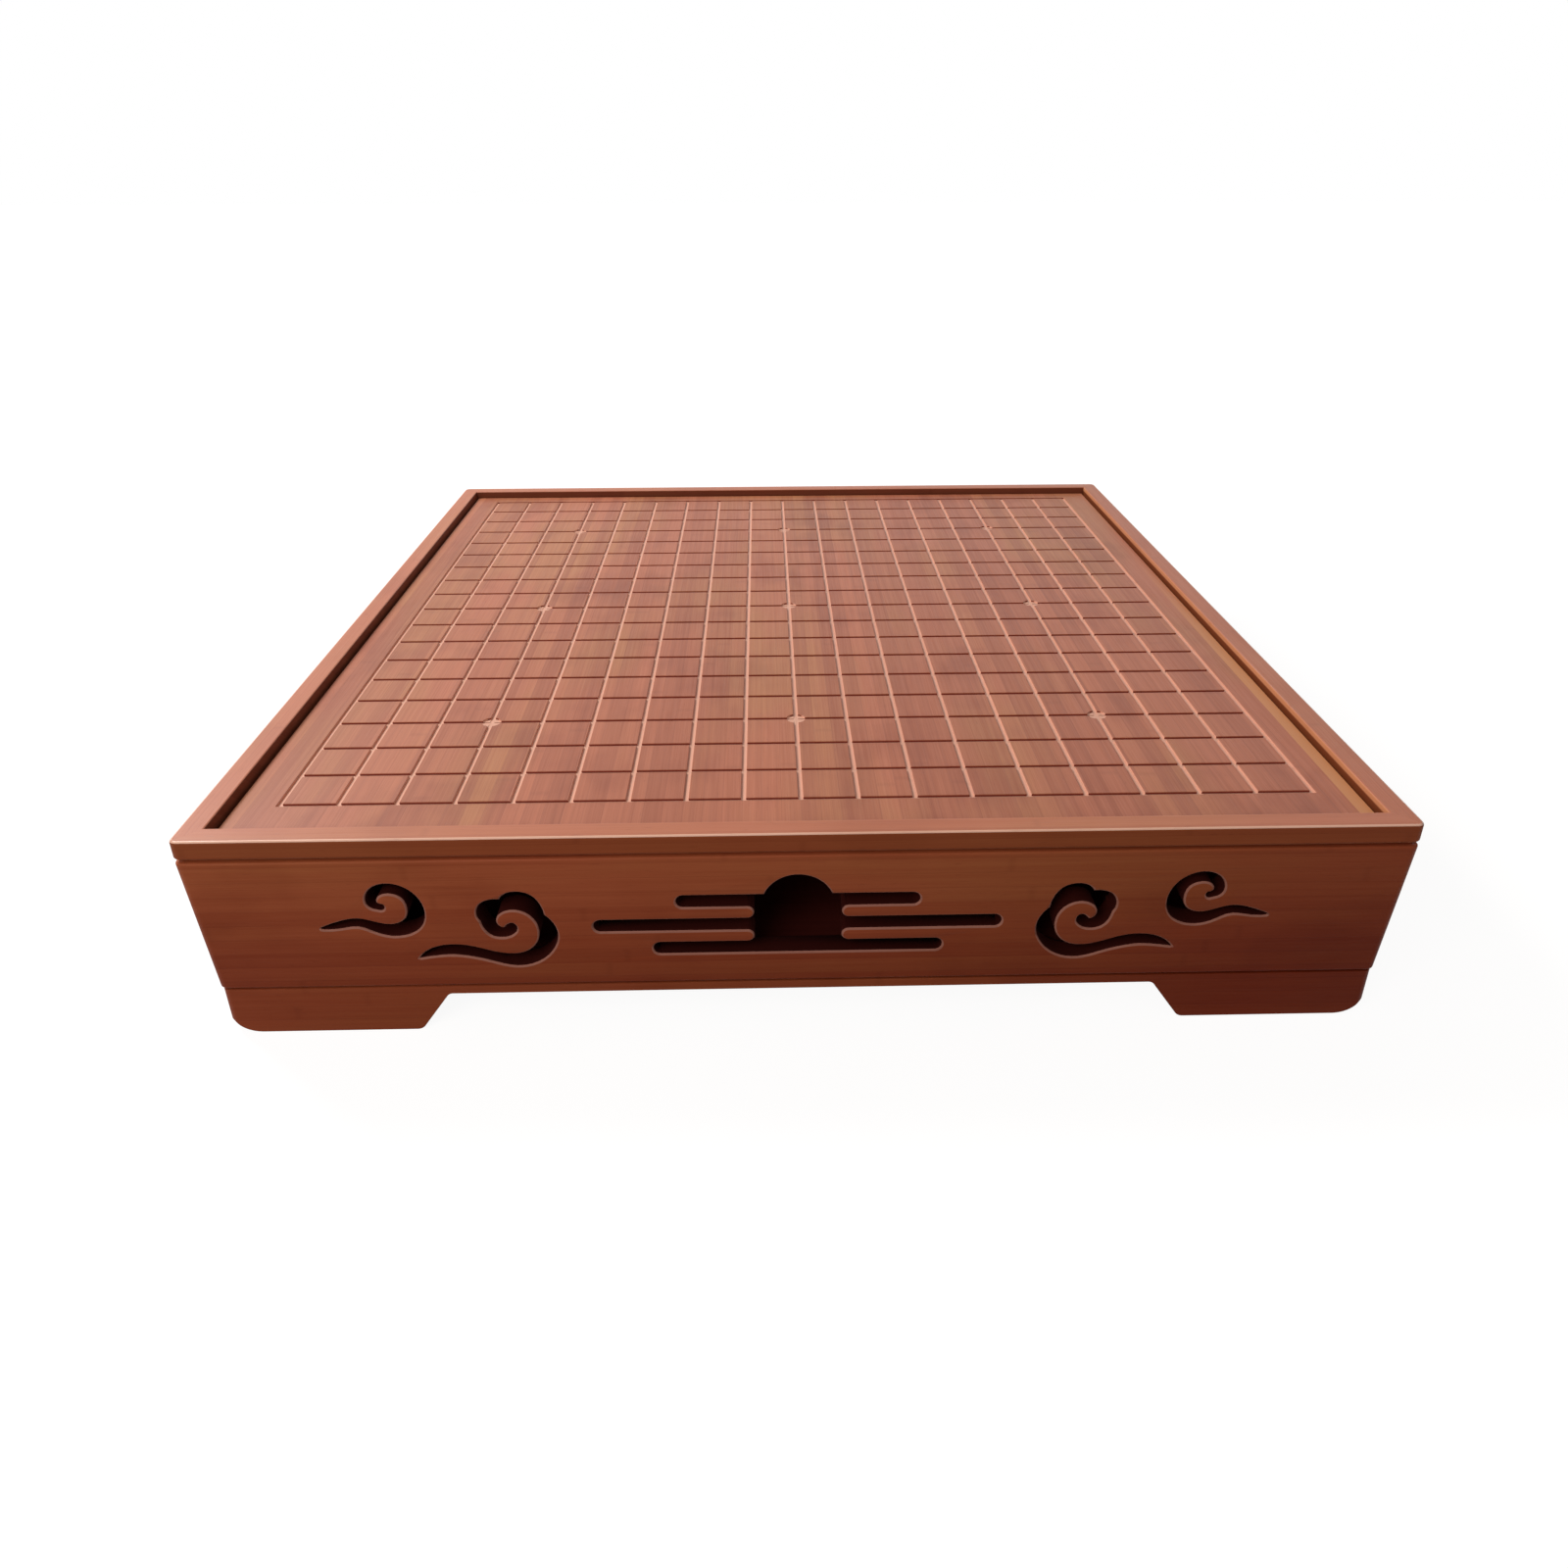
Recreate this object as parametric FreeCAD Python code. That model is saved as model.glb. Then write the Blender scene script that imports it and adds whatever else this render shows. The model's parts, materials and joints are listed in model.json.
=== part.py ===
import FreeCAD, Part

import math
import os

from FreeCAD import Vector

# Go board with a storage box under it, in bamboo.
# Frame: millimetres, Z up, X to the right, Y away from the carved front.
# The origin is on the ground, under the middle of the board.

# Playing grid
LINES = 19
CELL_X = 23.0            # spacing of the lines that run front to back
CELL_Y = 24.0            # spacing of the lines that run left to right
LINE_W = 2.0             # width of a cut line
LINE_DEEP = 1.0
CUT_EASE = 0.2           # sanded upper edges of the lines and pockets
STAR_D = 8.4             # shallow round pocket on a star point
STAR_DEEP = 0.8
STAR_STEP = 6            # cells from one star point to the next
GRID_BACK = 5.0          # the grid sits this far behind the middle

# Lid: a rim of four rails, with ledges under a loose playing panel
MARGIN = 28.5            # outer grid line to the outer face of the rim
RIM_W = 10.0             # width of the rim's top
BAND_H = 8.0             # height of the rim's outer face
RECESS = 4.2             # rim top to panel top
PANEL_T = 4.0
PANEL_GAP = 1.4          # open gap all round the panel
PANEL_BEVEL = 0.4
LEDGE_W = 13.5           # how far the ledge reaches under the panel
REVEAL_H = 1.5           # shadow gap between the rim and the box
REVEAL_DEEP = 2.5
CLEAT_H = 9.0            # battens under the rim that locate it in the box
CLEAT_FIT = 0.8          # least gap between a batten and the wall beside it
BAR_W = 14.0             # cross bars under the panel
BAR_H = 8.0
BAR_AT = 75.0            # a cross bar's distance from the middle

# Box: four walls that lean in towards the ground
WALL_T = 10.0
WALL_H = 61.0
WALL_LEAN = 2.6          # degrees
FLOOR_T = 5.0
FLOOR_UP = 3.0           # lower edge of the walls to the floor's underside
FLOOR_TONGUE = 5.0       # how far the floor reaches into the walls
GROOVE_FIT = 0.15        # slack round the floor's edge
DIVIDER_T = 8.0
DIVIDER_CLEAR = 2.0      # divider's top to the battens' underside

# Base: four rails cut away between the corner feet
BASE_H = 22.7
BASE_T = 20.0
BASE_INSET = 0.5         # base face behind the lower edge of the wall
GROOVE_H = 1.0           # thin dark line between the wall and the base
GROOVE_DEEP = 1.4
FOOT_LONG = 77.0         # length of a foot on the ground
FOOT_SLOPE = 13.0        # the foot grows by this much up to the apron
APRON_UP = 18.0          # ground to the underside of the apron
FOOT_ROUND = 7.5         # tip of a foot, seen square to the corner's diagonal
FOOT_EASE = 4.0          # inner end of a foot, where its slope meets the ground
BLOCK_LEG = 30.0         # triangular block glued inside a base corner
BLOCK_LOW = 4.0          # ground to the underside of a block

# Rounded edges
CORNER_R = 3.5           # upright corners
RIM_ROUND = 1.2          # outer top edge of the rim
RIM_INNER_ROUND = 0.8
BAND_ROUND = 1.0         # lower edge of the rim
WALL_ROUND = 1.0
SLOPE_ROUND = 3.0        # where a foot's slope meets the apron

# Splines across the mitres
KEY_T = 2.5
WALL_KEY_W = 8.0
KEY_END = 6.0            # a wall's spline stops this far from the floor and the top
RIM_KEY_W = 7.0
RIM_KEY_END = 2.5

# Carving in the front wall, on a stencil that fills the wall's clear height
CARVE_TOP = 9.3          # upper edge of the wall to the top of the sun
CARVE_BOTTOM = 9.5       # lowest cloud to the lower edge of the wall
CARVE_END = 51.0         # tail of the outer cloud to the end of the wall
CLOUD_GAP = -5.5         # the outer cloud overlaps the inner cloud's tail
RAY_GAP = 14.0           # longest ray to the inner cloud
RAY_T = 5.7
RAY_PITCH = 11.4
RAY_TOP_SHORT = 32.5     # the top ray is this much shorter than the middle ray
RAY_LOW_SHORT = 22.8
SUN_R = 14.0
RAY_DOWN = 12.0          # top of the sun to the middle of the top rays
SUN_HALF = 17.0          # middle of the sun to the tips of the wood between rays
CARVE_BEVEL = 0.7        # small bevel round the carving
FLARE_PAST = 0.1         # how far a bevel's tool stands out of the wall
CARVE_SHIFT = -2.0       # wall's middle to the carving's middle, minus is left

# Values that follow from the sizes above
lean = math.tan(math.radians(WALL_LEAN))
grid_x = (LINES - 1) * CELL_X
grid_y = (LINES - 1) * CELL_Y
half_x = grid_x / 2 + MARGIN
half_y = grid_y / 2 + MARGIN
wall_z0 = BASE_H
wall_z1 = wall_z0 + WALL_H
rim_top = wall_z1 + REVEAL_H + BAND_H
ledge_z = rim_top - RECESS - PANEL_T
cleat_z0 = wall_z1 - CLEAT_H
cleat_out = WALL_T + CLEAT_H * lean + CLEAT_FIT
ledge_in = RIM_W + LEDGE_W
base_in = WALL_H * lean + BASE_INSET
floor_z = wall_z0 + FLOOR_UP
base_x = half_x - base_in
base_y = half_y - base_in
FAR = 1000.0              # past every face, for cutting tools
PAST = 2.0                # how far a cutting tool runs past a face

nodes = {}


def block(x0, y0, z0, x1, y1, z1):
    return Part.makeBox(x1 - x0, y1 - y0, z1 - z0, Vector(x0, y0, z0))


def centred(hx, hy, z0, z1):
    """A box about the Z axis, with half widths hx and hy."""
    return block(-hx, -hy, z0, hx, hy, z1)


def tapered(inset, z0, z1):
    """The space inside the leaning wall faces, moved in by inset."""
    def ring(z):
        shift = inset + (wall_z1 - z) * lean
        x = half_x - shift
        y = half_y - shift
        return [Vector(-x, -y, z), Vector(x, -y, z), Vector(x, y, z), Vector(-x, y, z)]
    low = ring(z0)
    top = ring(z1)
    loops = [low[::-1], top]
    loops += [[low[i], low[i - 3], top[i - 3], top[i]] for i in range(4)]
    faces = [Part.Face(Part.makePolygon(loop + [loop[0]])) for loop in loops]
    return Part.makeSolid(Part.makeShell(faces))


def edges_where(shape, test):
    """The edges whose two end points both pass the test."""
    found = []
    for edge in shape.Edges:
        ends = [v.Point for v in edge.Vertexes]
        if len(ends) == 2 and all(test(p) for p in ends):
            found.append(edge)
    return found


def upright(shape):
    """The edges that climb from one level to another."""
    return [e for e in shape.Edges
            if abs(e.Vertexes[0].Point.z - e.Vertexes[-1].Point.z) > 1.0]


def near(a, b):
    return abs(a - b) < 0.01


def flat_prism(points, z0, z1):
    """A prism over a plan outline of (x, y) points."""
    corners = [Vector(x, y, z0) for x, y in points]
    return Part.Face(Part.makePolygon(corners + [corners[0]])).extrude(Vector(0, 0, z1 - z0))


def mitre(ring, name):
    """Cut a frame into four pieces that meet in mitres on the board's corner diagonals."""
    z0 = ring.BoundBox.ZMin - PAST
    z1 = ring.BoundBox.ZMax + PAST
    out_x = half_x + MARGIN
    out_y = half_y + MARGIN
    in_x = half_x - 2 * MARGIN
    in_y = half_y - 2 * MARGIN
    front = flat_prism([(-out_x, -out_y), (out_x, -out_y), (in_x, -in_y), (-in_x, -in_y)], z0, z1)
    right = flat_prism([(out_x, -out_y), (out_x, out_y), (in_x, in_y), (in_x, -in_y)], z0, z1)
    nodes[name.format("front")] = ring.common(front)
    nodes[name.format("back")] = ring.common(front.mirror(Vector(0, 0, 0), Vector(0, 1, 0)))
    nodes[name.format("left")] = ring.common(right.mirror(Vector(0, 0, 0), Vector(1, 0, 0)))
    nodes[name.format("right")] = ring.common(right)


def for_each(names, cutter):
    """Cut one shape, or a list of them, out of each named node."""
    for name in names:
        nodes[name] = nodes[name].cut(cutter)


# Walls of the box, rounded at the upright corners and along both outer edges
shell = tapered(0, wall_z0, wall_z1)
shell = shell.makeFillet(CORNER_R, upright(shell))
rims = [e for e in shell.Edges if near(e.BoundBox.ZMin, e.BoundBox.ZMax)]
shell = shell.makeFillet(WALL_ROUND, rims)
shell = shell.cut(tapered(WALL_T, wall_z0 - PAST, wall_z1 + PAST))

# Groove for the floor in all four walls
floor_in = WALL_T + (WALL_H - FLOOR_UP) * lean - FLOOR_TONGUE
groove = centred(half_x - floor_in, half_y - floor_in, floor_z, floor_z + FLOOR_T + 2 * GROOVE_FIT)
shell = shell.cut(groove)
mitre(shell, "{}_wall")
nodes["floor_panel"] = centred(half_x - floor_in - GROOVE_FIT, half_y - floor_in - GROOVE_FIT,
                               floor_z + GROOVE_FIT, floor_z + GROOVE_FIT + FLOOR_T)

# Divider across the middle, one half of the box for each colour of stones
divider_z0 = floor_z + GROOVE_FIT + FLOOR_T
divider_z1 = cleat_z0 - DIVIDER_CLEAR
divider = tapered(WALL_T, divider_z0, divider_z1)
nodes["storage_divider"] = divider.common(centred(FAR, DIVIDER_T / 2, 0, FAR))


# Carving: outlines on a flat stencil, u to the right and v down from the wall's upper edge
STENCIL_H = 42.4
carve_h = WALL_H / math.cos(math.radians(WALL_LEAN)) - CARVE_TOP - CARVE_BOTTOM
carve_k = carve_h / STENCIL_H

# Outer cloud: one stroke of changing width, from its tail to the curl's end
SMALL_STROKE = [(0.0, 22.5, 0.8), (7.5, 20.9, 3.4), (15.0, 20.0, 4.0), (22.0, 22.7, 5.1),
                (29.0, 23.8, 6.1), (36.0, 20.0, 6.9), (37.6, 13.2, 6.2), (34.8, 6.6, 4.9),
                (28.6, 3.8, 4.7), (22.4, 6.3, 4.4), (21.3, 10.4, 4.1), (24.4, 12.5, 3.2)]
SMALL_LONG = 41.0

# Inner cloud: smooth stretches that meet in the cusps between its lobes
LARGE_LOBES = [
    [(0.0, 38.0), (6.8, 36.9), (13.8, 36.5), (21.0, 37.7), (28.2, 39.9), (35.3, 42.3), (41.9, 42.4),
     (48.8, 39.3), (53.7, 33.6), (55.5, 27.1), (54.2, 21.8), (51.0, 17.6)],
    [(51.0, 17.6), (49.8, 12.3), (46.5, 7.8), (41.8, 6.2), (37.2, 7.0), (34.6, 9.8)],
    [(34.6, 9.8), (31.2, 9.8), (26.9, 11.8), (25.1, 16.5), (26.3, 20.1)],
    [(26.3, 20.1), (27.2, 23.8), (29.9, 27.2), (33.9, 28.2), (38.2, 26.8), (40.0, 23.9), (38.4, 21.3),
     (36.5, 21.8), (34.7, 23.4), (32.8, 22.2), (32.6, 18.4), (38.4, 14.9), (43.4, 16.1), (46.9, 19.6),
     (48.4, 25.3), (47.0, 31.0), (42.6, 35.3), (35.9, 36.5), (28.7, 35.0), (21.7, 32.6), (14.6, 31.5),
     (6.3, 32.9), (0.0, 38.0)],
]
LARGE_LONG = 55.5


def curve(points):
    line = Part.BSplineCurve()
    line.interpolate([Vector(u, 0, -v) for u, v in points])
    return line.toShape()


def stroke_face(stations):
    """A face along the stations, as wide as each one says, with a round end."""
    left = []
    right = []
    for i, (u, v, wide) in enumerate(stations):
        u0, v0, _ = stations[max(i - 1, 0)]
        u1, v1, _ = stations[min(i + 1, len(stations) - 1)]
        long = math.hypot(u1 - u0, v1 - v0)
        nu = -(v1 - v0) / long * wide / 2
        nv = (u1 - u0) / long * wide / 2
        left.append((u + nu, v + nv))
        right.append((u - nu, v - nv))
    u0, v0, _ = stations[-2]
    u1, v1, wide = stations[-1]
    long = math.hypot(u1 - u0, v1 - v0)
    tip = (u1 + (u1 - u0) / long * wide / 2, v1 + (v1 - v0) / long * wide / 2)
    head = Part.Arc(Vector(left[-1][0], 0, -left[-1][1]), Vector(tip[0], 0, -tip[1]),
                    Vector(right[-1][0], 0, -right[-1][1])).toShape()
    tail = Part.makeLine(Vector(right[0][0], 0, -right[0][1]), Vector(left[0][0], 0, -left[0][1]))
    return Part.Face(Part.Wire([curve(left), head, curve(right[::-1]), tail]))


def lobed_face(lobes):
    return Part.Face(Part.Wire([curve(lobe) for lobe in lobes]))


def slot_face(u0, u1, v_mid, thick):
    """A flat slot with round ends."""
    r = thick / 2
    top = -v_mid + r
    low = -v_mid - r
    lines = [Part.makeLine(Vector(u0 + r, 0, top), Vector(u1 - r, 0, top)),
             Part.Arc(Vector(u1 - r, 0, top), Vector(u1, 0, -v_mid), Vector(u1 - r, 0, low)).toShape(),
             Part.makeLine(Vector(u1 - r, 0, low), Vector(u0 + r, 0, low)),
             Part.Arc(Vector(u0 + r, 0, low), Vector(u0, 0, -v_mid), Vector(u0 + r, 0, top)).toShape()]
    return Part.Face(Part.Wire(lines))


def placed(face, du, dv, k):
    """The face scaled by k, then moved to (du, dv) on the stencil."""
    shape = face.copy()
    shape.scale(k)
    shape.translate(Vector(du, 0, -dv))
    return shape


# Where the motifs sit, worked out from the wall's end towards the sun
small_tail = half_x - CARVE_END
large_tail = small_tail - (SMALL_LONG + CLOUD_GAP) * carve_k
ray_mid = large_tail - LARGE_LONG * carve_k - RAY_GAP
ray_top = ray_mid - RAY_TOP_SHORT
ray_low = ray_mid - RAY_LOW_SHORT
ray_v = CARVE_TOP + RAY_DOWN * carve_k
pitch = RAY_PITCH * carve_k
ray_t = RAY_T * carve_k

small_cloud = placed(stroke_face(SMALL_STROKE), -small_tail, CARVE_TOP, carve_k)
large_cloud = placed(lobed_face(LARGE_LOBES), -large_tail, CARVE_TOP, carve_k)


def sun_face():
    """Half disc over a block, before the rays and the wood between them are made."""
    r = SUN_R * carve_k
    disc = Part.Face(Part.Wire(Part.makeCircle(r, Vector(0, 0, -(CARVE_TOP + r)), Vector(0, 1, 0))))
    top = -(ray_v - ray_t / 2)
    low = -(ray_v + 2 * pitch + ray_t / 2)
    corners = [Vector(-SUN_HALF, 0, top), Vector(SUN_HALF, 0, top),
               Vector(SUN_HALF, 0, low), Vector(-SUN_HALF, 0, low)]
    return disc.fuse([Part.Face(Part.makePolygon(corners + [corners[0]]))])


def onto_wall(tool):
    """A tool made on the stencil, leaned and moved to the wall's front."""
    tool.rotate(Vector(0, 0, 0), Vector(1, 0, 0), WALL_LEAN)
    tool.translate(Vector(CARVE_SHIFT, -half_y, wall_z1))
    return tool


def carve_tool(face):
    """The face on the leaning front of the wall, extruded right through it."""
    tool = face.copy()
    tool.translate(Vector(0, -PAST, 0))
    return onto_wall(tool.extrude(Vector(0, WALL_T + 3 * PAST, 0)))


def finger_tips():
    """What rounding takes off the square ends of the wood between two rays."""
    r = (pitch - ray_t) / 2
    deep = WALL_T + 3 * PAST
    bar = block(0, -PAST, -r, r, deep - PAST, r)
    corner = bar.cut(Part.makeCylinder(r, deep, Vector(r, -PAST, 0), Vector(0, 1, 0)))
    tips = []
    for row in (0.5, 1.5):
        right = corner.copy()
        right.translate(Vector(SUN_HALF, 0, -(ray_v + row * pitch)))
        left = right.mirror(Vector(0, 0, 0), Vector(1, 0, 0))
        tips += [onto_wall(right), onto_wall(left)]
    return tips


ray_faces = [slot_face(-ray_top, ray_top, ray_v, ray_t),
             slot_face(-ray_mid, ray_mid, ray_v + pitch, ray_t),
             slot_face(-ray_low, ray_low, ray_v + 2 * pitch, ray_t)]
sun_tool = carve_tool(sun_face()).fuse([carve_tool(ray) for ray in ray_faces])
front = nodes["front_wall"].cut([sun_tool] + finger_tips()).removeSplitter()


def on_front_face(edge):
    """True for an edge of the carving that lies in the wall's leaning front."""
    middle = (edge.FirstParameter + edge.LastParameter) / 2
    for t in (edge.FirstParameter, middle, edge.LastParameter):
        p = edge.valueAt(t)
        if not near(p.y + half_y, (wall_z1 - p.z) * lean):
            return False
        if p.z > wall_z1 - CARVE_TOP / 2 or p.z < wall_z0 + CARVE_BOTTOM / 2:
            return False
        if abs(p.x) > half_x - CARVE_END / 2:
            return False
    return True


front = front.makeChamfer(CARVE_BEVEL, [e for e in front.Edges if on_front_face(e)])


def flare_tool(face):
    """What the bevel round a cloud takes off, from a wide outline in front to the cloud's own."""
    wide = face.makeOffset2D(CARVE_BEVEL + FLARE_PAST).OuterWire
    wide.translate(Vector(0, -FLARE_PAST, 0))
    narrow = face.OuterWire.copy()
    narrow.translate(Vector(0, CARVE_BEVEL, 0))
    return onto_wall(Part.makeLoft([wide, narrow], True, True))


middle = Vector(CARVE_SHIFT, 0, 0)
cloud_tools = []
for cloud in (small_cloud, large_cloud):
    for tool in (carve_tool(cloud), flare_tool(cloud)):
        cloud_tools += [tool, tool.mirror(middle, Vector(1, 0, 0))]
nodes["front_wall"] = front.cut(cloud_tools)

# Base ring with a rebate for the thin groove, cut away between the feet
base = centred(base_x, base_y, 0, BASE_H)
base = base.makeFillet(CORNER_R, upright(base))
base = base.cut(centred(base_x - BASE_T, base_y - BASE_T, -PAST, BASE_H + PAST))
groove_ring = centred(base_x + PAST, base_y + PAST, BASE_H - GROOVE_H, BASE_H + PAST)
base = base.cut(groove_ring.cut(centred(base_x - GROOVE_DEEP, base_y - GROOVE_DEEP, 0, FAR)))


def apron_cut(half_long, half_wide):
    """The opening under one apron, run through both faces of the base along Y."""
    low = half_long - FOOT_LONG
    top = low - FOOT_SLOPE
    under = low + FOOT_EASE
    corners = [Vector(-low, 0, 0), Vector(-top, 0, APRON_UP), Vector(top, 0, APRON_UP), Vector(low, 0, 0),
               Vector(under, 0, 0), Vector(under, 0, -PAST), Vector(-under, 0, -PAST), Vector(-under, 0, 0)]
    face = Part.Face(Part.makePolygon(corners + [corners[0]]))
    tool = face.extrude(Vector(0, 2 * (half_wide + PAST), 0))
    tool.translate(Vector(0, -half_wide - PAST, 0))
    high_edges = edges_where(tool, lambda p: near(p.z, APRON_UP))
    tool = tool.makeFillet(SLOPE_ROUND, [e for e in high_edges if near(e.BoundBox.XLength, 0)])
    low_edges = edges_where(tool, lambda p: near(p.z, 0) and near(abs(p.x), low))
    return tool.makeFillet(FOOT_EASE, [e for e in low_edges if near(e.BoundBox.XLength, 0)])


def toe_rounds():
    """What rounding takes off the tips of the four corner feet."""
    r = FOOT_ROUND
    wide = r + PAST
    toe = block(-r, -wide, -PAST, PAST, wide, r)
    toe = toe.cut(Part.makeCylinder(r, 2 * wide, Vector(-r, -wide, r), Vector(0, 1, 0)))
    toe.rotate(Vector(0, 0, 0), Vector(0, 0, 1), 45)
    tip = CORNER_R * (1 - math.sqrt(0.5))
    toe.translate(Vector(base_x - tip, base_y - tip, 0))
    pair = [toe, toe.mirror(Vector(0, 0, 0), Vector(1, 0, 0))]
    return pair + [tool.mirror(Vector(0, 0, 0), Vector(0, 1, 0)) for tool in pair]


side_aprons = apron_cut(base_y, base_x)
side_aprons.rotate(Vector(0, 0, 0), Vector(0, 0, 1), 90)
for tool in [apron_cut(base_x, base_y), side_aprons] + toe_rounds():
    base = base.cut(tool)
mitre(base, "base_{}_rail")

# Triangular blocks glued in the four inner corners of the base
block_x = base_x - BASE_T
block_y = base_y - BASE_T
for side_x, word_x in ((-1, "left"), (1, "right")):
    for side_y, word_y in ((-1, "front"), (1, "back")):
        a = Vector(side_x * block_x, side_y * block_y, BLOCK_LOW)
        b = a + Vector(-side_x * BLOCK_LEG, 0, 0)
        c = a + Vector(0, -side_y * BLOCK_LEG, 0)
        face = Part.Face(Part.makePolygon([a, b, c, a]))
        nodes["base_block_{}_{}".format(word_y, word_x)] = face.extrude(Vector(0, 0, BASE_H - BLOCK_LOW))


def round_level(shape, z, radius):
    """Round the shape's edges that lie level at height z."""
    level = [e for e in shape.Edges if near(e.BoundBox.ZMin, z) and near(e.BoundBox.ZMax, z)]
    return shape.makeFillet(radius, level)


# Lid rim: a band on a set-back neck, with a rebate for the panel
band_z0 = wall_z1 + REVEAL_H
band = centred(half_x, half_y, band_z0, rim_top)
band = band.makeFillet(CORNER_R, upright(band))
band = round_level(band, rim_top, RIM_ROUND)
band = round_level(band, band_z0, BAND_ROUND)
rim = band.fuse([centred(half_x - REVEAL_DEEP, half_y - REVEAL_DEEP, wall_z1, rim_top - RECESS)])
well = centred(half_x - RIM_W, half_y - RIM_W, ledge_z, rim_top)
rim = rim.cut([well, centred(half_x - ledge_in, half_y - ledge_in, 0, FAR)])
inner_top = edges_where(rim, lambda p: near(p.z, rim_top) and near(abs(p.x), half_x - RIM_W)
                        and near(abs(p.y), half_y - RIM_W))
rim = rim.makeFillet(RIM_INNER_ROUND, inner_top)
mitre(rim, "lid_{}_rail")

# Battens under the ledges, which drop inside the walls and locate the lid
cleats = centred(half_x - cleat_out, half_y - cleat_out, cleat_z0, wall_z1)
cleats = cleats.cut(centred(half_x - ledge_in, half_y - ledge_in, 0, rim_top))
mitre(cleats, "lid_{}_batten")

# Cross bars that carry the panel between the front and back battens
bar_y = half_y - ledge_in
for side, word in ((-1, "left"), (1, "right")):
    x = side * BAR_AT
    bar = block(x - BAR_W / 2, -bar_y, ledge_z - BAR_H, x + BAR_W / 2, bar_y, ledge_z)
    nodes["lid_cross_bar_" + word] = bar

# Playing panel, loose in the rim, with its cut lines and star points
panel_x = half_x - RIM_W - PANEL_GAP
panel_y = half_y - RIM_W - PANEL_GAP
panel_top = ledge_z + PANEL_T
panel = centred(panel_x, panel_y, ledge_z, panel_top)
panel = panel.makeChamfer(PANEL_BEVEL, edges_where(panel, lambda p: near(p.z, panel_top)))


def line_tool(half_long):
    """One cut line along X about the origin, with its upper edges eased."""
    half = LINE_W / 2
    low = -LINE_DEEP
    profile = [(-half, low), (half, low), (half, -CUT_EASE), (half + CUT_EASE, 0), (half + CUT_EASE, PAST),
               (-half - CUT_EASE, PAST), (-half - CUT_EASE, 0), (-half, -CUT_EASE)]
    corners = [Vector(-half_long, y, z) for y, z in profile]
    return Part.Face(Part.makePolygon(corners + [corners[0]])).extrude(Vector(2 * half_long, 0, 0))


def star_tool():
    """One round pocket about the origin, with its upper edge eased."""
    r = STAR_D / 2
    pocket = Part.makeCylinder(r, STAR_DEEP, Vector(0, 0, -STAR_DEEP))
    return pocket.fuse([Part.makeCone(r, r + CUT_EASE, CUT_EASE, Vector(0, 0, -CUT_EASE)),
                        Part.makeCylinder(r + CUT_EASE, PAST)])


def moved(tool, x, y):
    copy = tool.copy()
    copy.translate(Vector(x, y + GRID_BACK, panel_top))
    return copy


across_line = line_tool((grid_x + LINE_W) / 2)
along_line = line_tool((grid_y + LINE_W) / 2)
along_line.rotate(Vector(0, 0, 0), Vector(0, 0, 1), 90)
cuts = [moved(along_line, i * CELL_X - grid_x / 2, 0) for i in range(LINES)]
cuts += [moved(across_line, 0, i * CELL_Y - grid_y / 2) for i in range(LINES)]
cuts += [moved(star_tool(), i * STAR_STEP * CELL_X, j * STAR_STEP * CELL_Y)
         for i in (-1, 0, 1) for j in (-1, 0, 1)]
nodes["playing_panel"] = panel.cut(cuts)


def corner_keys(inset, thick, wide, z0, z1, slant):
    """Four thin splines, each across the mitre of one corner and leaning with it."""
    keys = []
    for side_x in (-1, 1):
        for side_y in (-1, 1):
            shift = inset + (wall_z1 - z0) * slant
            middle = Vector(side_x * (half_x - shift), side_y * (half_y - shift), z0)
            across = Vector(side_x, -side_y, 0) * (wide / 2 / math.sqrt(2))
            along = Vector(side_x, side_y, 0) * (thick / 2 / math.sqrt(2))
            loop = [middle + across + along, middle + across - along,
                    middle - across - along, middle - across + along]
            rise = Vector(side_x * slant, side_y * slant, 1) * (z1 - z0)
            keys.append(Part.Face(Part.makePolygon(loop + [loop[0]])).extrude(rise))
    return Part.makeCompound(keys)


# Splines glued into slots across the mitres of the walls and of the rim
key_z0 = floor_z + FLOOR_T + KEY_END
nodes["wall_splines"] = corner_keys(WALL_T / 2, KEY_T, WALL_KEY_W, key_z0, wall_z1 - KEY_END, lean)
for_each(["front_wall", "back_wall", "left_wall", "right_wall"], nodes["wall_splines"])
key_z0 = wall_z1 + REVEAL_H + RIM_KEY_END
nodes["lid_splines"] = corner_keys(RIM_W / 2, KEY_T, RIM_KEY_W, key_z0, rim_top - RIM_KEY_END, 0)
for_each(["lid_front_rail", "lid_back_rail", "lid_left_rail", "lid_right_rail"], nodes["lid_splines"])

os.makedirs("parts", exist_ok=True)
for name, shape in nodes.items():
    count = len(shape.Solids)
    if count == 1:
        shape = shape.Solids[0]
    print("{:28s} solids {:2d} volume {:10.1f} valid {}".format(name, count, shape.Volume, shape.isValid()))
    shape.exportStep("parts/{}.step".format(name))
print("overall", 2 * half_x, 2 * half_y, rim_top)
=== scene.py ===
# %% [markdown]
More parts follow.
